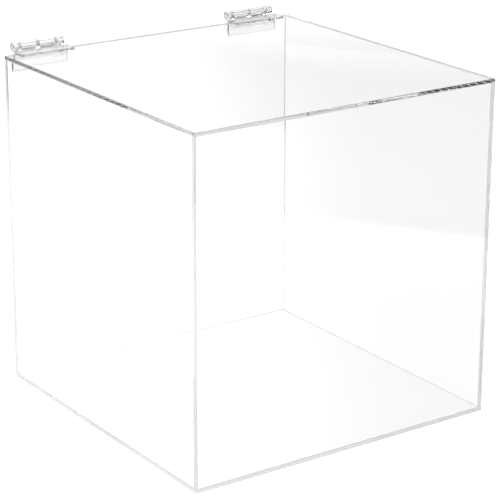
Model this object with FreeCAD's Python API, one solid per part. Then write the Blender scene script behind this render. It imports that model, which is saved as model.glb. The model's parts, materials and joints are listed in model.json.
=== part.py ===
import FreeCAD, Part
import math
import os

from FreeCAD import Vector

# Clear acrylic cube box with a flat lid on two moulded hinges at the back.
# X runs across the front, Y from front to back, Z up.
# The origin is the middle of the base's underside. Millimetres.

# Outside sizes of the closed box, without its hinges
box_width = 304.8
box_depth = 304.8
box_height = 304.8

# Cast acrylic sheet that every panel is cut from
sheet = 3.175

# The lid stops short of the back face, so that it turns clear of the hinge leaves
lid_back_gap = 0.3

# Places of the two hinges, from each side of the box to the hinge's nearer end
left_hinge_margin = 9.6
right_hinge_margin = 13.0

# Hinge leaves: both leaves of both hinges are the same moulding
hinge_length = 53.5
leaf_width = 15.0
leaf_thickness = 2.4
leaf_corner = 0.8

# Room between the barrel and the lid's top, and as much to the back face
barrel_stand_off = 1.5

# Four knuckles in a row: short, long, long, short. Each leaf has one of each
# The row stops short of the plates' ends
barrel_inset = 1.5
end_knuckle = 6.4
knuckle_gap = 0.6
knuckle_wall = 2.5

# Room between the edge of one leaf's plate and the other leaf's webs
leaf_edge_gap = 0.4

# Hinge pin: pushed tight into the back leaf, free to turn in the lid leaf
pin_diameter = 2.8
pin_push_clearance = 0.01
pin_running_clearance = 0.05
pin_recess = 0.6

# Places that follow from the sizes above
half_width = box_width / 2
half_depth = box_depth / 2
wall_height = box_height - 2 * sheet
lid_bottom = box_height - sheet
pin_radius = pin_diameter / 2
barrel_radius = pin_radius + knuckle_wall
axis_offset = barrel_radius + barrel_stand_off
barrel_length = hinge_length - 2 * barrel_inset
long_knuckle = (barrel_length - 2 * end_knuckle - 3 * knuckle_gap) / 2
plate_edge = axis_offset + leaf_edge_gap
plate_reach = plate_edge + leaf_width

os.makedirs("parts", exist_ok=True)


def panel(size_x, size_y, size_z, low_x, low_y, low_z):
    """One rectangular acrylic sheet by its sizes and lowest corner."""
    return Part.makeBox(size_x, size_y, size_z, Vector(low_x, low_y, low_z))


def on_circle(radius, angle):
    """A point of the hinge's cross section, on a circle about the pin axis."""
    return Vector(0, radius * math.cos(angle), radius * math.sin(angle))


def tangent_angle(y, z, side):
    """Angle of the barrel's point where a line from (y, z) touches it, on the given side."""
    return math.atan2(z, y) + side * math.acos(barrel_radius / math.hypot(y, z))


def knuckle(start, length):
    """One barrel length with the tapered web that joins it to the plate's edge."""
    low = Vector(0, -plate_edge, -axis_offset)
    high = Vector(0, -plate_edge, leaf_thickness - axis_offset)
    low_angle = tangent_angle(low.y, low.z, 1)
    high_angle = tangent_angle(high.y, high.z, -1) + 2 * math.pi
    low_touch = on_circle(barrel_radius, low_angle)
    high_touch = on_circle(barrel_radius, high_angle)
    far_side = on_circle(barrel_radius, (low_angle + high_angle) / 2)
    edges = [
        Part.makeLine(low, low_touch),
        Part.Arc(low_touch, far_side, high_touch).toShape(),
        Part.makeLine(high_touch, high),
        Part.makeLine(high, low),
    ]
    section = Part.Face(Part.Wire(edges))
    section.translate(Vector(start, 0, 0))
    return section.extrude(Vector(length, 0, 0))


def leaf_plate():
    """The flat plate that is bonded to the panel, with its two free corners rounded."""
    plate = Part.makeBox(hinge_length, leaf_width, leaf_thickness, Vector(0, -plate_reach, -axis_offset))
    corners = [
        edge for edge in plate.Edges
        if edge.BoundBox.ZLength > 0.5 * leaf_thickness and edge.CenterOfMass.y < -plate_edge - 0.5 * leaf_width
    ]
    return plate.makeFillet(leaf_corner, corners)


def hinge_leaf(bore_radius):
    """The moulded leaf as it lies on the lid, with the pin axis along X through the origin."""
    long_start = barrel_inset + end_knuckle + 2 * knuckle_gap + long_knuckle
    leaf = leaf_plate()
    leaf = leaf.fuse(knuckle(barrel_inset, end_knuckle))
    leaf = leaf.fuse(knuckle(long_start, long_knuckle))
    bore = Part.makeCylinder(bore_radius, hinge_length, Vector(0, 0, 0), Vector(1, 0, 0))
    return leaf.cut(bore).removeSplitter()


def turned_over(leaf):
    """The same moulding as it lies on the back wall, end for end and face to the wall."""
    turned = leaf.copy()
    turned.rotate(Vector(hinge_length / 2, 0, 0), Vector(0, 1, 1), 180)
    return turned


def hinge(left_end):
    """Lid leaf, back leaf and pin of one hinge whose left end is at the given X."""
    lid_leaf = hinge_leaf(pin_radius + pin_running_clearance)
    back_leaf = turned_over(hinge_leaf(pin_radius + pin_push_clearance))
    pin_length = barrel_length - 2 * pin_recess
    pin = Part.makeCylinder(pin_radius, pin_length, Vector(barrel_inset + pin_recess, 0, 0), Vector(1, 0, 0))
    place = Vector(left_end, half_depth + axis_offset, box_height + axis_offset)
    pieces = {"lid_leaf": lid_leaf, "back_leaf": back_leaf, "pin": pin}
    for shape in pieces.values():
        shape.translate(place)
    return pieces


def panels():
    """The five bonded sheets of the box and the loose sheet of the lid."""
    side_depth = box_depth - 2 * sheet
    lid_depth = box_depth - lid_back_gap
    return {
        "base_panel": panel(box_width, box_depth, sheet, -half_width, -half_depth, 0),
        "front_panel": panel(box_width, sheet, wall_height, -half_width, -half_depth, sheet),
        "back_panel": panel(box_width, sheet, wall_height, -half_width, half_depth - sheet, sheet),
        "left_panel": panel(sheet, side_depth, wall_height, -half_width, sheet - half_depth, sheet),
        "right_panel": panel(sheet, side_depth, wall_height, half_width - sheet, sheet - half_depth, sheet),
        "lid_panel": panel(box_width, lid_depth, sheet, -half_width, -half_depth, lid_bottom),
    }


nodes = panels()
hinge_ends = {
    "left": left_hinge_margin - half_width,
    "right": half_width - right_hinge_margin - hinge_length,
}
for hand, left_end in hinge_ends.items():
    for piece, shape in hinge(left_end).items():
        nodes[f"{hand}_hinge_{piece}"] = shape

for name, shape in nodes.items():
    shape.exportStep(f"parts/{name}.step")
    print(name, shape.isValid(), len(shape.Solids), round(shape.Volume, 2))
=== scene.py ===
"""Dresses the clear acrylic donation box: polished sheets, moulded hinges and the paper under it."""

import json
import logging
import math
from collections.abc import Iterable, Sequence
from dataclasses import dataclass, field
from enum import Enum
from typing import Any

import bmesh
import bpy
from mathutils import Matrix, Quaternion, Vector


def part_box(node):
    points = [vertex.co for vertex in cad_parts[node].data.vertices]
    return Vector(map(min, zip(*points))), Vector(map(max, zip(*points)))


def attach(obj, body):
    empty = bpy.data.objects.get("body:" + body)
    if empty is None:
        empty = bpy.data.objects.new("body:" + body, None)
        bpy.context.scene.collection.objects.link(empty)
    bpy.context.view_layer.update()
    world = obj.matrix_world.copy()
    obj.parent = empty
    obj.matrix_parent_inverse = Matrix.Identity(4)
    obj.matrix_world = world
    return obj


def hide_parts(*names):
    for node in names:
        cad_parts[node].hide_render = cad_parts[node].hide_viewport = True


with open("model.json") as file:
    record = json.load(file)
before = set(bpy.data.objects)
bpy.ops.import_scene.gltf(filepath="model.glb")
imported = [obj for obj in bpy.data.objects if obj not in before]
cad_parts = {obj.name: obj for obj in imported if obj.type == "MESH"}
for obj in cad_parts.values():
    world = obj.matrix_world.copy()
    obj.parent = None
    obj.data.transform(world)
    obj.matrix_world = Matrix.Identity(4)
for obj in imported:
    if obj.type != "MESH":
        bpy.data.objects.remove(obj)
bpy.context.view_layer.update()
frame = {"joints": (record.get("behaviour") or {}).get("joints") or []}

MM = 0.001
LOG = logging.getLogger("donation_box")

# An outside edge that turns by more than this many degrees is softened, with so many facets.
SOFTEN_DEG = 25.0
SOFT_FACETS = 2
# A round surface is shaded smooth across edges that turn by less than this many degrees.
SMOOTH_DEG = 18.0

# A Map Range node that steps softly, and its results where it steps down from 1 to 0.
SOFT_STEP = {"interpolation_type": "SMOOTHSTEP"}
DOWN = {"To Min": 1.0, "To Max": 0.0}
# A Mix node for plain numbers.
MIX_NUMBERS = {"data_type": "FLOAT"}

Colour = tuple[float, float, float, float]
Point2 = tuple[float, float]
PlateEdge = dict[float, list[bmesh.types.BMVert]]


class Body(Enum):
    """The two rigid bodies of the part, by their names in the frame."""

    BOX = "box"
    LID = "lid"


class Side(Enum):
    """The box's two hinges, by the side that each is nearer to."""

    LEFT = "left"
    RIGHT = "right"


class Surface(Enum):
    """The two surfaces of a sheet or a moulding, as the places of their materials on the mesh."""

    FACE = 0
    EDGE = 1


class LeafSeat(Enum):
    """What a hinge leaf is bonded to, by the last word of the leaf's node."""

    LID = "lid_leaf"
    BACK = "back_leaf"


def linear(hex_colour: str) -> Colour:
    """Turns an sRGB hex colour into the linear colour that shaders take.

    Args:
        hex_colour: Six hex digits after a hash sign.

    Returns:
        Linear red, green, blue and an alpha of 1.
    """
    values = [int(hex_colour[start:start + 2], 16) / 255 for start in (1, 3, 5)]
    low, power = 0.04045, 2.4
    curved = [v / 12.92 if v <= low else ((v + 0.055) / 1.055) ** power for v in values]
    return curved[0], curved[1], curved[2], 1.0


def per_metre(size_mm: float) -> float:
    """Texture scale, in repeats per metre, of a pattern whose features are this many millimetres wide."""
    return 1 / (size_mm * MM)


def between(start: Point2, end: Point2, share: float) -> Point2:
    """The point at a share of the way from start to end."""
    return start[0] + (end[0] - start[0]) * share, start[1] + (end[1] - start[1]) * share


def add_node(tree: bpy.types.NodeTree, kind: str, settings: dict[str, Any] | None = None,
             inputs: dict[str | int, Any] | None = None) -> bpy.types.Node:
    """Adds a node with its settings, its constants and its links.

    Args:
        tree: The node tree that gets the node.
        kind: The node's type name.
        settings: Attributes of the node, by name.
        inputs: Constants, or the output sockets to link from, by the input's name or number.

    Returns:
        The new node.
    """
    node = tree.nodes.new(kind)
    for name, value in (settings or {}).items():
        setattr(node, name, value)
    for name, value in (inputs or {}).items():
        if isinstance(value, bpy.types.NodeSocket):
            tree.links.new(value, node.inputs[name])
        else:
            node.inputs[name].default_value = value
    return node


def straight_view(tree: bpy.types.NodeTree) -> bpy.types.NodeSocket:
    """Tells what is seen directly or straight through a sheet from what was mirrored on its way.

    Args:
        tree: The node tree of what is seen.

    Returns:
        1 for a straight view, 0 for a mirrored one.
    """
    mirrorings = add_node(tree, "ShaderNodeLightPath").outputs["Glossy Depth"]
    less_than_one = 0.5
    straight = add_node(tree, "ShaderNodeMath", {"operation": "LESS_THAN"}, {
        0: mirrorings, 1: less_than_one})
    return straight.outputs["Value"]


def empty_material(name: str) -> bpy.types.Material:
    """Makes a material whose node tree is still empty.

    Args:
        name: The material's name.

    Returns:
        The new material.
    """
    made = bpy.data.materials.new(name)
    made.use_nodes = True
    made.node_tree.nodes.clear()
    return made


@dataclass(frozen=True)
class ClearAcrylic:
    """Clear acrylic (PMMA) with the surface that its making left on it.

    Attributes:
        name: Material name.
        tint: What one pass through the surface leaves of white light.
        ior: Refractive index of acrylic.
        smooth: Roughness where the surface is at its best.
        dull: Roughness where it is handled or tooled.
        haze: Share of the light that fine scratches scatter instead of letting it through.
        mark_mm: Width of the patches between those two.
        mark_low: Strength of a mark, from 0 to 1, up to which the surface stays at its best.
        mark_high: Strength from which it is dull.
        ripple_mm: Width of the surface's slow ripple.
        ripple_height_mm: Height of that ripple.
        depth_colour: Colour that a long way through the sheet takes on.
        depth_per_metre: Share of the depth colour's loss for each metre of acrylic.
        shadow: How light the piece's shadow is.
    """

    name: str
    tint: str = "#fefefe"
    ior: float = 1.49
    smooth: float = 0.0
    dull: float = 0.02
    haze: float = 0.0
    mark_mm: float = 6.0
    mark_low: float = 0.45
    mark_high: float = 0.8
    ripple_mm: float = 45.0
    ripple_height_mm: float = 0.01
    depth_colour: str = "#cbcbcb"
    depth_per_metre: float = 0.5
    shadow: str = "#fcfcfc"

    def material(self) -> bpy.types.Material:
        """Builds the node material.

        Returns:
            Refracting acrylic with patchy gloss, a slow ripple, a little absorption and a light shadow.
        """
        made = empty_material(self.name)
        tree = made.node_tree
        place = add_node(tree, "ShaderNodeTexCoord").outputs["Object"]
        marks = add_node(tree, "ShaderNodeTexNoise", {}, {
            "Vector": place, "Scale": per_metre(self.mark_mm), "Detail": 3.0, "Roughness": 0.6})
        gloss = add_node(tree, "ShaderNodeMapRange", SOFT_STEP, {
            "Value": marks.outputs["Fac"], "From Min": self.mark_low, "From Max": self.mark_high,
            "To Min": self.smooth, "To Max": self.dull})
        ripple = add_node(tree, "ShaderNodeTexNoise", {}, {
            "Vector": place, "Scale": per_metre(self.ripple_mm), "Detail": 1.0})
        relief = add_node(tree, "ShaderNodeBump", {}, {
            "Height": ripple.outputs["Fac"], "Strength": 1.0, "Distance": self.ripple_height_mm * MM})
        surface = add_node(tree, "ShaderNodeBsdfPrincipled", {}, {
            "Base Color": linear(self.tint), "IOR": self.ior, "Transmission Weight": 1.0 - self.haze,
            "Roughness": gloss.outputs["Result"], "Normal": relief.outputs["Normal"]})
        see_through = add_node(tree, "ShaderNodeBsdfTransparent", {}, {"Color": linear(self.shadow)})
        lamp_ray = add_node(tree, "ShaderNodeLightPath").outputs["Is Shadow Ray"]
        lit = add_node(tree, "ShaderNodeMixShader", {}, {
            0: lamp_ray, 1: surface.outputs["BSDF"], 2: see_through.outputs["BSDF"]})
        depth = add_node(tree, "ShaderNodeVolumeAbsorption", {}, {
            "Color": linear(self.depth_colour), "Density": self.depth_per_metre})
        add_node(tree, "ShaderNodeOutputMaterial", {}, {
            "Surface": lit.outputs["Shader"], "Volume": depth.outputs["Volume"]})
        return made


# Cast sheet as it leaves its glass mould: dead flat gloss, seen only by reflections and a faint haze.
CAST_FACE = ClearAcrylic("cast acrylic, polished face")
# Scraped edge of the cemented sheets: hazy with fine scratches, so that it reads as an even pale line.
SCRAPED_EDGE = ClearAcrylic(
    "cast acrylic, scraped cut edge", smooth=0.06, dull=0.14, haze=0.5, mark_mm=1.5,
    ripple_mm=4.0, ripple_height_mm=0.006)
# Sawn and then polished edge: lets the light inside the sheet out in dark and bright runs.
POLISHED_EDGE = ClearAcrylic(
    "cast acrylic, polished cut edge", dull=0.03, mark_mm=1.5, ripple_mm=4.0, ripple_height_mm=0.012)
# Injection-moulded hinge leaf: clear, with softened edges and slight sink ripple that bends its outlines.
MOULDED_LEAF = ClearAcrylic(
    "injection-moulded acrylic leaf", tint="#fcfcfc", haze=0.08, mark_mm=2.5,
    ripple_mm=7.0, ripple_height_mm=0.008, depth_per_metre=4.0)
# Sides of the back plate, drawn past the mould's texture: satin, so that they outline the plate in grey.
MOULDED_SIDE = ClearAcrylic(
    "injection-moulded acrylic, satin side", tint="#fcfcfc", smooth=0.28, dull=0.36, mark_mm=2.5,
    ripple_mm=7.0, ripple_height_mm=0.008, depth_per_metre=4.0)
# Drawn rod: glossy with fine die lines, which the round bore hides from most sides.
DRAWN_ROD = ClearAcrylic(
    "drawn acrylic rod", tint="#fafafa", dull=0.04, mark_mm=1.0, ripple_mm=3.0, ripple_height_mm=0.006)


def shade_round(mesh: bpy.types.Mesh) -> None:
    """Smooths a mesh across its shallow edges, and keeps the rest crisp."""
    mesh.polygons.foreach_set("use_smooth", [True] * len(mesh.polygons))
    mesh.set_sharp_from_angle(angle=math.radians(SMOOTH_DEG))


def soften_edges(shape: bmesh.types.BMesh, width: float) -> None:
    """Rounds every sharp outside edge of a closed mesh.

    Args:
        shape: The mesh to change.
        width: How far the rounding reaches on each side of an edge, in metres.
    """
    sharp = math.radians(SOFTEN_DEG)
    edges = [e for e in shape.edges if e.is_convex and e.calc_face_angle(0.0) > sharp]
    bmesh.ops.bevel(shape, geom=edges, offset=width, offset_type="OFFSET", segments=SOFT_FACETS, profile=0.5,
                    affect="EDGES", clamp_overlap=True)


def new_piece(name: str, shape: bmesh.types.BMesh,
              materials: Iterable[bpy.types.Material]) -> bpy.types.Object:
    """Turns a finished bmesh into a named object with its materials.

    Args:
        name: The piece's name.
        shape: Its mesh, which is freed.
        materials: Its materials, in slot order.

    Returns:
        The linked object.
    """
    bmesh.ops.recalc_face_normals(shape, faces=shape.faces[:])
    mesh = bpy.data.meshes.new(name)
    shape.to_mesh(mesh)
    shape.free()
    for material in materials:
        mesh.materials.append(material)
    piece = bpy.data.objects.new(name, mesh)
    # Light from all round reaches the paper past the clear piece, and only the lamp gives it a shadow.
    piece.visible_diffuse = False
    bpy.context.scene.collection.objects.link(piece)
    return piece


def stand_in(piece: bpy.types.Object, node: str, body: Body) -> None:
    """Puts a piece in the place of a CAD node.

    Args:
        piece: The dressed piece.
        node: The node that it replaces.
        body: The body that it rides on.
    """
    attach(piece, body.value)
    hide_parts(node)
    LOG.info("%s rides on %s", piece.name, body.value)


@dataclass
class AcrylicSheet:
    """One rectangular sheet with polished faces and eased cut edges.

    Attributes:
        node: The CAD node that it stands for.
        body: The body that carries it.
        ease_mm: Width of the easing along its edges.
        bond_line_mm: Half the thickness of a cement line, left free at every face.
        broad_facing: How squarely a polygon faces the sheet's thin way to count as a broad face.
    """

    node: str
    body: Body
    ease_mm: float = 0.22
    bond_line_mm: float = 0.02
    broad_facing: float = 0.99

    def build(self, face: bpy.types.Material, edge: bpy.types.Material) -> bpy.types.Object:
        """Builds and dresses the sheet.

        Args:
            face: Finish of the two broad faces.
            edge: Finish of the cut edges and their easing.

        Returns:
            The sheet, riding on its body in place of the node.
        """
        low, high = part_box(self.node)
        inset = Vector((1, 1, 1)) * self.bond_line_mm * MM
        low, high = low + inset, high - inset
        size = high - low
        shape = bmesh.new()
        bmesh.ops.create_cube(shape, size=1)
        bmesh.ops.scale(shape, vec=size, verts=shape.verts)
        bmesh.ops.translate(shape, vec=(low + high) / 2, verts=shape.verts)
        soften_edges(shape, self.ease_mm * MM)
        thin = min(range(3), key=lambda axis: size[axis])
        shape.normal_update()
        for polygon in shape.faces:
            broad = abs(polygon.normal[thin]) > self.broad_facing
            polygon.material_index = (Surface.FACE if broad else Surface.EDGE).value
        piece = new_piece(f"{self.node}_sheet", shape, (face, edge))
        stand_in(piece, self.node, self.body)
        return piece


@dataclass
class BoxShell:
    """The five sheets that are cemented into an open box.

    Attributes:
        nodes: The CAD nodes of the base and the four walls.
    """

    nodes: tuple[str, ...] = ("base_panel", "front_panel", "back_panel", "left_panel", "right_panel")

    def build(self, face: bpy.types.Material, edge: bpy.types.Material) -> list[bpy.types.Object]:
        """Builds the base and the four walls."""
        return [AcrylicSheet(node, Body.BOX).build(face, edge) for node in self.nodes]


@dataclass
class Lid:
    """The loose sheet that lies on the wall tops.

    Attributes:
        node: The CAD node that it stands for.
        ease_mm: Width of its hand-eased edges.
    """

    node: str = "lid_panel"
    ease_mm: float = 0.4

    def build(self, face: bpy.types.Material, edge: bpy.types.Material) -> bpy.types.Object:
        """Builds the lid's sheet."""
        return AcrylicSheet(self.node, Body.LID, ease_mm=self.ease_mm).build(face, edge)


@dataclass
class HingeLeaf:
    """One moulded leaf: a plate on its panel, with a short and a long knuckle at its edge.

    Its section is drawn about the pin axis: out is the way from the axis towards the plate's free edge,
    and up is the way from the panel towards the axis.

    Attributes:
        side: The hinge that it belongs to.
        seat: What the plate is bonded to.
        thickness_mm: Thickness of the plate.
        corner_mm: Radius of the plate's two free corners.
        edge_gap_mm: Room between the plate's inner edge and the other leaf.
        inset_mm: How far the row of knuckles stops short of the plate's ends.
        end_knuckle_mm: Length of the short knuckle.
        knuckle_gap_mm: Room between two knuckles.
        bore_mm: Diameter of the pin's bore.
        soft_mm: Width of the moulding's softened edges.
        bond_line_mm: Cement line under the plate.
        barrel_steps: Facets round the barrel's free side.
        corner_steps: Facets round a plate corner.
        end_facing: How squarely a polygon faces along the leaf to count as part of an end.
        node: The CAD node that it stands for.
        body: The body that carries it.
        axis: A point on the pin axis, in metres.
        start: Where the leaf starts along the axis.
        length: Its length.
        reach: Distance from the pin axis to the plate's free edge.
        stand_off: Distance from the pin axis to the panel.
        barrel: Radius of the knuckles.
        plate_low: Height of the plate's bonded face, from the axis.
        plate_high: Height of its outer face.
        plate_edge: Distance from the pin axis to the plate's inner edge.
    """

    side: Side
    seat: LeafSeat
    thickness_mm: float = 2.4
    corner_mm: float = 0.8
    edge_gap_mm: float = 0.4
    inset_mm: float = 1.5
    end_knuckle_mm: float = 6.4
    knuckle_gap_mm: float = 0.6
    bore_mm: float = 2.9
    soft_mm: float = 0.2
    bond_line_mm: float = 0.03
    barrel_steps: int = 40
    corner_steps: int = 6
    end_facing: float = 0.3
    node: str = field(init=False)
    body: Body = field(init=False)
    axis: Vector = field(init=False)
    start: float = field(init=False)
    length: float = field(init=False)
    reach: float = field(init=False)
    stand_off: float = field(init=False)
    barrel: float = field(init=False)
    plate_low: float = field(init=False)
    plate_high: float = field(init=False)
    plate_edge: float = field(init=False)

    def __post_init__(self) -> None:
        """Reads the leaf's place and length from the frame."""
        self.node = f"{self.side.value}_hinge_{self.seat.value}"
        self.axis = Vector(frame["joints"][0]["pos_m"])
        low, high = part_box(self.node)
        self.start = low.x
        self.length = high.x - low.x
        if self.seat is LeafSeat.LID:
            self.body = Body.LID
            self.reach = self.axis.y - low.y
            self.stand_off = self.axis.z - low.z
            self.barrel = high.z - self.axis.z
        else:
            self.body = Body.BOX
            self.reach = self.axis.z - low.z
            self.stand_off = self.axis.y - low.y
            self.barrel = high.y - self.axis.y
        self.plate_low = self.bond_line_mm * MM - self.stand_off
        self.plate_high = self.thickness_mm * MM - self.stand_off
        self.plate_edge = self.stand_off + self.edge_gap_mm * MM

    def place(self, along: float, out: float, up: float) -> Vector:
        """Turns a point of the leaf into the part's frame.

        Args:
            along: Distance from the end with the short knuckle.
            out: Distance from the pin axis towards the plate's free edge.
            up: Distance from the pin axis away from the panel.

        Returns:
            The point in metres. The back leaf is the lid leaf turned end for end.
        """
        if self.seat is LeafSeat.LID:
            return Vector((self.start + along, self.axis.y - out, self.axis.z + up))
        return Vector((self.start + self.length - along, self.axis.y + up, self.axis.z - out))

    def knuckles(self) -> list[Point2]:
        """Places the short and the long knuckle.

        Returns:
            Start and end of each, along the leaf.
        """
        inset, short, gap = self.inset_mm * MM, self.end_knuckle_mm * MM, self.knuckle_gap_mm * MM
        long = (self.length - 2 * inset - 2 * short - 3 * gap) / 2
        start = inset + short + 2 * gap + long
        return [(inset, inset + short), (start, start + long)]

    def tangent(self, out: float, up: float, turn: int) -> float:
        """Angle on the barrel at which a line from the given point touches it."""
        return math.atan2(up, out) + turn * math.acos(self.barrel / math.hypot(out, up))

    def web_outline(self) -> list[Point2]:
        """Outline of a knuckle with its web, from the plate's lower edge round the barrel to its upper edge.

        Returns:
            Points as (out, up), with the web's straight runs divided so that the bore stays round.
        """
        low, high = (self.plate_edge, self.plate_low), (self.plate_edge, self.plate_high)
        first = self.tangent(*low, -1)
        last = self.tangent(*high, 1) - 2 * math.pi
        angles = [first + (last - first) * step / self.barrel_steps for step in range(self.barrel_steps + 1)]
        arc = [(self.barrel * math.cos(angle), self.barrel * math.sin(angle)) for angle in angles]
        quarters = (0.25, 0.5, 0.75)
        lower = [between(low, arc[0], share) for share in quarters]
        upper = [between(arc[-1], high, share) for share in quarters]
        return [low, *lower, *arc, *upper, high]

    def plan(self) -> list[Point2]:
        """Outline of the plate seen from above, without its inner edge.

        Returns:
            Points as (along, out), from one end of the inner edge round to the other.
        """
        corner = self.corner_mm * MM
        turns = [math.pi / 2 * step / self.corner_steps for step in range(self.corner_steps + 1)]
        first = [(corner - corner * math.cos(t), self.reach - corner + corner * math.sin(t)) for t in turns]
        second = [(self.length - along, out) for along, out in reversed(first)]
        return [(0.0, self.plate_edge), *first, *second, (self.length, self.plate_edge)]

    def add_knuckle(self, shape: bmesh.types.BMesh, start: float, end: float, edge: PlateEdge) -> None:
        """Adds one knuckle's barrel, web, bore and end faces.

        Args:
            shape: The leaf's mesh.
            start: Where the knuckle starts along the leaf.
            end: Where it ends.
            edge: The plate's lower and upper vertex at each station of its inner edge.
        """
        outline = self.web_outline()
        bore = self.bore_mm * MM / 2
        angles = [math.atan2(up, out) for out, up in outline]
        circle = [(bore * math.cos(angle), bore * math.sin(angle)) for angle in angles]
        rings = []
        for along in (start, end):
            low, high = edge[along]
            middle = [shape.verts.new(self.place(along, *point)) for point in outline[1:-1]]
            inner = [shape.verts.new(self.place(along, *point)) for point in circle]
            rings.append(([low, *middle, high], inner))
        count = len(outline)
        (outer_a, inner_a), (outer_b, inner_b) = rings
        for i in range(count - 1):
            shape.faces.new((outer_a[i], outer_a[i + 1], outer_b[i + 1], outer_b[i]))
        for i in range(count):
            following = (i + 1) % count
            shape.faces.new((inner_a[i], inner_b[i], inner_b[following], inner_a[following]))
            for outer, inner in rings:
                shape.faces.new((outer[i], outer[following], inner[following], inner[i]))

    def add_plate(self, shape: bmesh.types.BMesh) -> PlateEdge:
        """Adds the plate, open at its inner edge where the knuckles join it.

        Args:
            shape: The leaf's mesh.

        Returns:
            The plate's lower and upper vertex at each station of its inner edge.
        """
        heights = (self.plate_low, self.plate_high)
        spans = self.knuckles()
        stations = sorted({along for span in spans for along in span} | {0.0, self.length})
        inner = [(along, self.plate_edge) for along in reversed(stations[1:-1])]
        loop = [*self.plan(), *inner]
        pairs = [[shape.verts.new(self.place(along, out, up)) for up in heights] for along, out in loop]
        shape.faces.new([pair[0] for pair in pairs])
        shape.faces.new([pair[1] for pair in reversed(pairs)])
        for i, (along, out) in enumerate(loop):
            following = (i + 1) % len(loop)
            next_along, next_out = loop[following]
            on_inner_edge = out == next_out == self.plate_edge
            if on_inner_edge and (next_along, along) in spans:
                continue
            (low, high), (next_low, next_high) = pairs[i], pairs[following]
            shape.faces.new((low, high, next_high, next_low))
        return {along: pair for (along, out), pair in zip(loop, pairs) if out == self.plate_edge}

    def is_side(self, polygon: bmesh.types.BMFace) -> bool:
        """Tells the back plate's ends and its free edge from the moulding's polished surfaces.

        Args:
            polygon: A face of the leaf's mesh.

        Returns:
            Whether it has the satin finish.
        """
        out = self.axis.z - polygon.calc_center_median().z
        at_end = abs(polygon.normal.x) > self.end_facing and out > self.plate_edge
        return self.seat is LeafSeat.BACK and (at_end or out > self.reach - self.soft_mm * MM)

    def build(self, face: bpy.types.Material, side: bpy.types.Material) -> bpy.types.Object:
        """Builds and dresses the leaf.

        Args:
            face: Finish of the plate's faces and the barrel.
            side: Finish of the back plate's ends and free edge.

        Returns:
            The leaf, riding on its body in place of the node.
        """
        shape = bmesh.new()
        edge = self.add_plate(shape)
        for start, end in self.knuckles():
            self.add_knuckle(shape, start, end, edge)
        bmesh.ops.recalc_face_normals(shape, faces=shape.faces[:])
        soften_edges(shape, self.soft_mm * MM)
        shape.normal_update()
        for polygon in shape.faces:
            polygon.material_index = (Surface.EDGE if self.is_side(polygon) else Surface.FACE).value
        piece = new_piece(f"{self.node}_moulding", shape, (face, side))
        shade_round(piece.data)
        stand_in(piece, self.node, self.body)
        return piece


@dataclass
class HingePin:
    """The rod through a hinge's knuckles, with chamfered ends.

    Attributes:
        side: The hinge that it belongs to.
        chamfer_mm: Width of the chamfer at each end.
        fit_mm: How much smaller than the CAD rod's its radius is, so that it never meets the bore's facets.
        steps: Facets round the rod.
    """

    side: Side
    chamfer_mm: float = 0.3
    fit_mm: float = 0.04
    steps: int = 48

    def ring(self, shape: bmesh.types.BMesh, middle: Vector, radius: float) -> list[bmesh.types.BMVert]:
        """Adds one ring of vertices round the pin axis.

        Args:
            shape: The rod's mesh.
            middle: The ring's middle.
            radius: Its radius.

        Returns:
            The vertices, in order.
        """
        turns = [2 * math.pi * step / self.steps for step in range(self.steps)]
        offsets = [(radius * math.cos(turn), radius * math.sin(turn)) for turn in turns]
        return [shape.verts.new((middle.x, middle.y + y, middle.z + z)) for y, z in offsets]

    def build(self, material: bpy.types.Material) -> bpy.types.Object:
        """Builds and dresses the pin.

        Args:
            material: Finish of the rod.

        Returns:
            The pin, riding on the box in place of its node.
        """
        node = f"{self.side.value}_hinge_pin"
        low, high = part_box(node)
        middle = (low + high) / 2
        radius = (high.z - low.z) / 2 - self.fit_mm * MM
        chamfer = self.chamfer_mm * MM
        profile = [(low.x, radius - chamfer), (low.x + chamfer, radius),
                   (high.x - chamfer, radius), (high.x, radius - chamfer)]
        shape = bmesh.new()
        rings = [self.ring(shape, Vector((x, middle.y, middle.z)), width) for x, width in profile]
        for ring, following in zip(rings, rings[1:]):
            for k in range(self.steps):
                after = (k + 1) % self.steps
                shape.faces.new((ring[k], ring[after], following[after], following[k]))
        shape.faces.new(reversed(rings[0]))
        shape.faces.new(rings[-1])
        piece = new_piece(f"{node}_rod", shape, (material,))
        shade_round(piece.data)
        stand_in(piece, node, Body.BOX)
        return piece


@dataclass
class Hinge:
    """One hinge: a leaf on the lid, a leaf on the back wall and the pin that joins them.

    Attributes:
        side: The side of the box that it is nearer to.
    """

    side: Side

    def build(self, face: bpy.types.Material, side: bpy.types.Material,
              rod: bpy.types.Material) -> list[bpy.types.Object]:
        """Builds the hinge's three pieces.

        Args:
            face: Finish of the leaves' faces.
            side: Finish of the back plate's ends and free edge.
            rod: Finish of the pin.

        Returns:
            The lid leaf, the back leaf and the pin.
        """
        leaves = [HingeLeaf(self.side, seat).build(face, side) for seat in LeafSeat]
        return [*leaves, HingePin(self.side).build(rod)]


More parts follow.
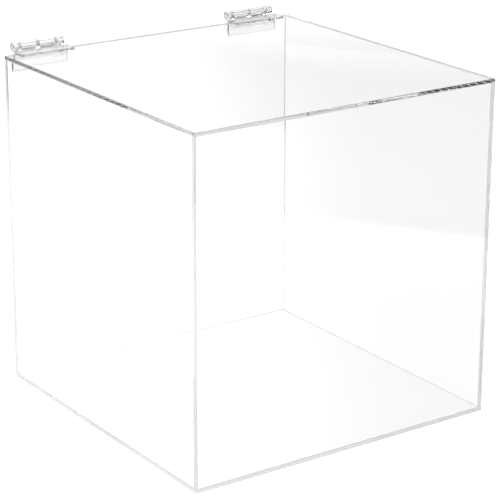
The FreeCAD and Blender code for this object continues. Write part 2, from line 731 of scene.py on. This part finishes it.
@dataclass(frozen=True)
class SeamlessPaper:
    """White background paper on a studio floor.

    Its own axes are X across the line of sight and Y along it. Seen directly or straight through the acrylic
    it is white as far as it goes. Light that was mirrored on its way meets a roll of limited width.
    Its added glow is painted light: brighter on the left and far behind, dimmer to the right, and fading in
    steep views as a painted sheen.

    Attributes:
        name: Material name.
        colour: The paper's own white.
        lift_seen: Light added where the camera sees the paper itself, which makes it white.
        lift: Light added so that lit paper reads as white in the acrylic's edges.
        painted_light_left: Painted light added for a view straight through the acrylic, brightest on the
            left, as if the paper were lit best there.
        painted_light_right: The same painted light on the right, dimmer, as it is seen straight through the
            acrylic.
        right_start: Where the painted light starts to fall off to the right, in metres from its middle.
        right_end: Where it has fallen off.
        back_start: How far behind the box's middle the painted light starts to rise again, towards the
            sweep.
        back_end: How far behind it has risen.
        painted_sheen_low: Rise of a view up to which the paper has that added light, as a share of the way;
            in steeper views it fades, a painted sheen.
        painted_sheen_high: Rise from which a steep view has none of it.
        half_width: Half the width of the roll, in metres.
        edge_soft: How softly the paper ends in a mirrored view.
        floor_painted_shade: Painted shade: the glow of the studio floor to the left of the roll and close to
            it.
        floor_painted_light: Painted light: the glow of the floor away to the right.
        floor_reach: How far to the right the floor has that brightness, in metres.
    """

    name: str = "white background paper"
    colour: str = "#ececec"
    lift_seen: float = 0.5
    lift: float = 0.45
    painted_light_left: float = 0.85
    painted_light_right: float = 0.32
    right_start: float = -0.06
    right_end: float = 0.36
    back_start: float = 1.1
    back_end: float = 1.6
    painted_sheen_low: float = 0.75
    painted_sheen_high: float = 1.0
    half_width: float = 0.86
    edge_soft: float = 0.03
    floor_painted_shade: float = 0.03
    floor_painted_light: float = 0.4
    floor_reach: float = 1.39

    def added_light(self, tree: bpy.types.NodeTree, across: bpy.types.NodeSocket,
                    ahead: bpy.types.NodeSocket, direct: bpy.types.NodeSocket) -> bpy.types.NodeSocket:
        """Works out the light that is added to the lit paper, with a painted pool of light that is brighter
        on the left and far behind, and a painted sheen that fades in steep views.

        Args:
            tree: The paper's node tree.
            across: Place on the paper across the line of sight.
            ahead: Place on it along the line of sight.
            direct: 1 for a straight view of the paper, 0 for a mirrored one.

        Returns:
            The added light's strength, for the camera and for what the acrylic shows of the paper.
        """
        # Painted light: the glow is brighter on the left and far behind the box, and dimmer to the right.
        lit = add_node(tree, "ShaderNodeMapRange", SOFT_STEP, {
            "Value": across, "From Min": self.right_start, "From Max": self.right_end,
            "To Min": self.painted_light_left, "To Max": self.painted_light_right})
        behind = add_node(tree, "ShaderNodeMapRange", SOFT_STEP, {
            "Value": ahead, "From Min": self.back_start, "From Max": self.back_end,
            "To Min": self.painted_light_right, "To Max": self.painted_light_left})
        best = add_node(tree, "ShaderNodeMath", {"operation": "MAXIMUM"}, {
            0: lit.outputs["Result"], 1: behind.outputs["Result"]})
        through = add_node(tree, "ShaderNodeMix", MIX_NUMBERS, {
            "Factor": direct, "A": self.lift, "B": best.outputs["Value"]})
        # Painted sheen: the added glow fades where the view of the paper is steep.
        back = add_node(tree, "ShaderNodeNewGeometry").outputs["Incoming"]
        rise = add_node(tree, "ShaderNodeSeparateXYZ", {}, {"Vector": back}).outputs["Z"]
        not_steep = add_node(tree, "ShaderNodeMapRange", SOFT_STEP, {
            "Value": rise, "From Min": self.painted_sheen_low, "From Max": self.painted_sheen_high, **DOWN})
        painted_sheen = add_node(tree, "ShaderNodeMath", {"operation": "MULTIPLY"}, {
            0: through.outputs["Result"], 1: not_steep.outputs["Result"]})
        camera_ray = add_node(tree, "ShaderNodeLightPath").outputs["Is Camera Ray"]
        strength = add_node(tree, "ShaderNodeMix", MIX_NUMBERS, {
            "Factor": camera_ray, "A": painted_sheen.outputs["Value"], "B": self.lift_seen})
        return strength.outputs["Result"]

    def material(self) -> bpy.types.Material:
        """Builds the node material.

        Returns:
            Matt paper that keeps the object's shadow and glows with painted light, with the studio floor
            beside it in mirrored views, which glows with painted shade and light.
        """
        made = empty_material(self.name)
        tree = made.node_tree
        place = add_node(tree, "ShaderNodeTexCoord").outputs["Object"]
        axes = add_node(tree, "ShaderNodeSeparateXYZ", {}, {"Vector": place})
        across, ahead = axes.outputs["X"], axes.outputs["Y"]
        direct = straight_view(tree)
        off = add_node(tree, "ShaderNodeMath", {"operation": "ABSOLUTE"}, {0: across})
        on_paper = add_node(tree, "ShaderNodeMapRange", SOFT_STEP, {
            "Value": off.outputs["Value"], "From Min": self.half_width,
            "From Max": self.half_width + self.edge_soft, **DOWN})
        white = add_node(tree, "ShaderNodeMath", {"operation": "MAXIMUM"}, {
            0: on_paper.outputs["Result"], 1: direct})
        grain = add_node(tree, "ShaderNodeBsdfDiffuse", {}, {"Color": linear(self.colour), "Roughness": 1.0})
        glow = add_node(tree, "ShaderNodeEmission", {}, {
            "Strength": self.added_light(tree, across, ahead, direct)})
        paper = add_node(tree, "ShaderNodeAddShader", {}, {
            0: grain.outputs["BSDF"], 1: glow.outputs["Emission"]})
        # The floor beside the roll glows with painted shade close to it and painted light away to the right.
        beside = add_node(tree, "ShaderNodeMapRange", {}, {
            "Value": across, "From Min": self.half_width, "From Max": self.floor_reach,
            "To Min": self.floor_painted_shade, "To Max": self.floor_painted_light})
        floor = add_node(tree, "ShaderNodeEmission", {}, {"Strength": beside.outputs["Result"]})
        both = add_node(tree, "ShaderNodeMixShader", {}, {
            0: white.outputs["Value"], 1: floor.outputs["Emission"], 2: paper.outputs["Shader"]})
        add_node(tree, "ShaderNodeOutputMaterial", {}, {"Surface": both.outputs["Shader"]})
        return made


@dataclass
class Studio:
    """Paper, surroundings, lamp and camera.

    Attributes:
        eye: Where the camera stands, in metres.
        aim: The point that it looks at.
        roll_deg: How far it leans.
        lens_mm: Focal length on its sensor.
        sensor_mm: Width of the sensor.
        floor_half: Half the side of the paper floor.
        paper_drop_mm: How far the paper lies under the base, clear of its polished face.
        paper_shift: How far to the left of the box its middle lies.
        sweep_half_width: Half the width of the paper that hangs behind the box.
        sweep_back: How far behind the box it hangs.
        sweep_rise: Height up to which it hangs.
        sweep_side_soft: Where its sides have faded out, as a multiple of its half width.
        sweep_top_soft: Where its top has faded out, as a multiple of its height.
        sweep: Brightness of the paper that hangs behind the box.
        least_ahead: Least share of a direction along the line of sight, so that nothing is divided by zero.
        room_left: Brightness of the unlit room to the left of the paper, as the acrylic mirrors it.
        room_right: Brightness of the room to the right.
        room_turn: Share of a direction across the line of sight from which the room has that brightness.
        level_low: Rise up to which a straight view through the acrylic meets plain white.
        level_high: Rise from which it meets the room.
        ambient: Brightness of the light that comes from all round.
        lamp_width: Width of the lamp's panel.
        lamp_depth: Its depth.
        lamp_watts: Its power.
        lamp_rise: Height at which it hangs.
        lamp_before: How far in front of the box's middle it hangs.
        lamp_left: How far to the left.
        lamp_aim_rise: Height of the point over the middle of the base that it is turned to.
        bounces: How often light may turn inside the acrylic.
        ahead: Level direction of sight.
        across: Level direction to its right.
    """

    eye: Vector
    aim: Vector
    roll_deg: float = 0.18
    lens_mm: float = 147.0
    sensor_mm: float = 36.0
    floor_half: float = 4.0
    paper_drop_mm: float = 0.3
    paper_shift: float = 0.19
    sweep_half_width: float = 0.675
    sweep_back: float = 1.5
    sweep_rise: float = 2.0
    sweep_side_soft: float = 1.1
    sweep_top_soft: float = 1.2
    sweep: float = 1.0
    least_ahead: float = 0.001
    room_left: float = 0.02
    room_right: float = 0.35
    room_turn: float = 0.5
    level_low: float = 0.15
    level_high: float = 0.3
    ambient: float = 0.6
    lamp_width: float = 1.2
    lamp_depth: float = 0.9
    lamp_watts: float = 16.0
    lamp_rise: float = 1.7
    lamp_before: float = 0.3
    lamp_left: float = 0.5
    lamp_aim_rise: float = 0.15
    bounces: int = 128
    ahead: Vector = field(init=False)
    across: Vector = field(init=False)

    def __post_init__(self) -> None:
        """Works out the level direction of sight and the one across it."""
        sight = self.aim - self.eye
        self.ahead = Vector((sight.x, sight.y, 0)).normalized()
        self.across = Vector((self.ahead.y, -self.ahead.x, 0))

    def lay_paper(self) -> bpy.types.Object:
        """Lays the white paper that the box stands on, square to the line of sight.

        Returns:
            The paper.
        """
        corners = [(side * self.floor_half, along * self.floor_half, 0)
                   for side, along in ((-1, -1), (1, -1), (1, 1), (-1, 1))]
        mesh = bpy.data.meshes.new("paper")
        mesh.from_pydata(corners, [], [range(len(corners))])
        mesh.materials.append(SeamlessPaper().material())
        paper = bpy.data.objects.new("paper", mesh)
        paper.location = Vector((0, 0, -self.paper_drop_mm * MM)) - self.across * self.paper_shift
        paper.rotation_euler = (0, 0, math.atan2(self.across.y, self.across.x))
        bpy.context.scene.collection.objects.link(paper)
        return paper

    def sweep_share(self, tree: bpy.types.NodeTree, ahead: bpy.types.NodeSocket,
                    across: bpy.types.NodeSocket, height: bpy.types.NodeSocket) -> bpy.types.NodeSocket:
        """Tells the directions that meet the hanging paper from those that miss it.

        Args:
            tree: The room's node tree.
            ahead: Share of the direction along the line of sight.
            across: Share of it across the line of sight.
            height: Share of it upwards.

        Returns:
            1 on the paper, 0 beside it and above it.
        """
        depth = add_node(tree, "ShaderNodeMath", {"operation": "MAXIMUM"}, {0: ahead, 1: self.least_ahead})
        off = add_node(tree, "ShaderNodeMath", {"operation": "ABSOLUTE"}, {0: across})
        aside = add_node(tree, "ShaderNodeMath", {"operation": "DIVIDE"}, {
            0: off.outputs["Value"], 1: depth.outputs["Value"]})
        slope = add_node(tree, "ShaderNodeMath", {"operation": "DIVIDE"}, {
            0: height, 1: depth.outputs["Value"]})
        side = self.sweep_half_width / self.sweep_back
        top = self.sweep_rise / self.sweep_back
        within = add_node(tree, "ShaderNodeMapRange", SOFT_STEP, {
            "Value": aside.outputs["Value"],
            "From Min": side, "From Max": side * self.sweep_side_soft, **DOWN})
        below = add_node(tree, "ShaderNodeMapRange", SOFT_STEP, {
            "Value": slope.outputs["Value"],
            "From Min": top, "From Max": top * self.sweep_top_soft, **DOWN})
        share = add_node(tree, "ShaderNodeMath", {"operation": "MULTIPLY"}, {
            0: within.outputs["Result"], 1: below.outputs["Result"]})
        return share.outputs["Value"]

    def surround(self) -> None:
        """Makes the room: white to the eye, and lit paper in a dark room to light that was turned."""
        world = bpy.data.worlds.new("studio room")
        bpy.context.scene.world = world
        world.use_nodes = True
        tree = world.node_tree
        tree.nodes.clear()
        way = add_node(tree, "ShaderNodeTexCoord").outputs["Generated"]
        shares = [add_node(tree, "ShaderNodeVectorMath", {"operation": "DOT_PRODUCT"}, {0: way, 1: axis})
                  for axis in (self.ahead, self.across)]
        ahead, across = [share.outputs["Value"] for share in shares]
        height = add_node(tree, "ShaderNodeSeparateXYZ", {}, {"Vector": way}).outputs["Z"]
        room = add_node(tree, "ShaderNodeMapRange", {}, {
            "Value": across, "From Min": -self.room_turn, "From Max": self.room_turn,
            "To Min": self.room_left, "To Max": self.room_right})
        turned = add_node(tree, "ShaderNodeMix", MIX_NUMBERS, {
            "Factor": self.sweep_share(tree, ahead, across, height),
            "A": room.outputs["Result"], "B": self.sweep})
        level = add_node(tree, "ShaderNodeMapRange", SOFT_STEP, {
            "Value": height, "From Min": self.level_low, "From Max": self.level_high, **DOWN})
        level_view = add_node(tree, "ShaderNodeMath", {"operation": "MULTIPLY"}, {
            0: straight_view(tree), 1: level.outputs["Result"]})
        path = add_node(tree, "ShaderNodeLightPath")
        plain = add_node(tree, "ShaderNodeMath", {"operation": "MAXIMUM"}, {
            0: level_view.outputs["Value"], 1: path.outputs["Is Camera Ray"]})
        seen = add_node(tree, "ShaderNodeMix", MIX_NUMBERS, {
            "Factor": plain.outputs["Value"], "A": turned.outputs["Result"], "B": 1.0})
        strength = add_node(tree, "ShaderNodeMix", MIX_NUMBERS, {
            "Factor": path.outputs["Is Diffuse Ray"], "A": seen.outputs["Result"], "B": self.ambient})
        light = add_node(tree, "ShaderNodeBackground", {}, {"Strength": strength.outputs["Result"]})
        add_node(tree, "ShaderNodeOutputWorld", {}, {"Surface": light.outputs["Background"]})

    def hang_lamp(self) -> bpy.types.Object:
        """Hangs one large soft lamp over the box, a little to the left and in front.

        Returns:
            The lamp.
        """
        data = bpy.data.lights.new("softbox", "AREA")
        data.shape = "RECTANGLE"
        data.size = self.lamp_width
        data.size_y = self.lamp_depth
        data.energy = self.lamp_watts
        lamp = bpy.data.objects.new("softbox", data)
        lamp.location = (Vector((0, 0, self.lamp_rise)) - self.ahead * self.lamp_before
                         - self.across * self.lamp_left)
        lamp.rotation_mode = "QUATERNION"
        aim = Vector((0, 0, self.lamp_aim_rise))
        lamp.rotation_quaternion = (aim - lamp.location).to_track_quat("-Z", "Y")
        bpy.context.scene.collection.objects.link(lamp)
        return lamp

    def stand_camera(self) -> bpy.types.Object:
        """Stands the camera where the box's corners fall as they do in the photograph.

        Returns:
            The camera, in use by the scene.
        """
        data = bpy.data.cameras.new("camera")
        data.sensor_width = self.sensor_mm
        data.lens = self.lens_mm
        camera = bpy.data.objects.new("camera", data)
        camera.location = self.eye
        camera.rotation_mode = "QUATERNION"
        level = (self.aim - self.eye).to_track_quat("-Z", "Y")
        camera.rotation_quaternion = level @ Quaternion((0, 0, 1), math.radians(self.roll_deg))
        bpy.context.scene.collection.objects.link(camera)
        bpy.context.scene.camera = camera
        return camera

    def set_light_paths(self) -> None:
        """Lets light run inside the sheets from one edge to the other, and keeps colours as written."""
        scene = bpy.context.scene
        scene.view_settings.view_transform = "Standard"
        scene.cycles.max_bounces = self.bounces
        scene.cycles.transmission_bounces = self.bounces
        scene.cycles.glossy_bounces = self.bounces
        scene.cycles.transparent_max_bounces = self.bounces
        scene.cycles.caustics_refractive = False
        scene.cycles.caustics_reflective = False

    def build(self) -> None:
        """Sets up everything round the box."""
        self.lay_paper()
        self.surround()
        self.hang_lamp()
        self.stand_camera()
        self.set_light_paths()


def main() -> None:
    """Builds the box, its lid, its hinges and the studio, in that order."""
    logging.basicConfig(level=logging.INFO, format="%(name)s: %(message)s")
    face = CAST_FACE.material()
    leaf, leaf_side, rod = MOULDED_LEAF.material(), MOULDED_SIDE.material(), DRAWN_ROD.material()
    BoxShell().build(face, SCRAPED_EDGE.material())
    Lid().build(face, POLISHED_EDGE.material())
    for side in Side:
        Hinge(side).build(leaf, leaf_side, rod)
    Studio(eye=Vector((-0.97615, -1.41448, 0.72759)), aim=Vector((0.00409, -0.00284, 0.13761))).build()


if __name__ == "__main__":
    main()
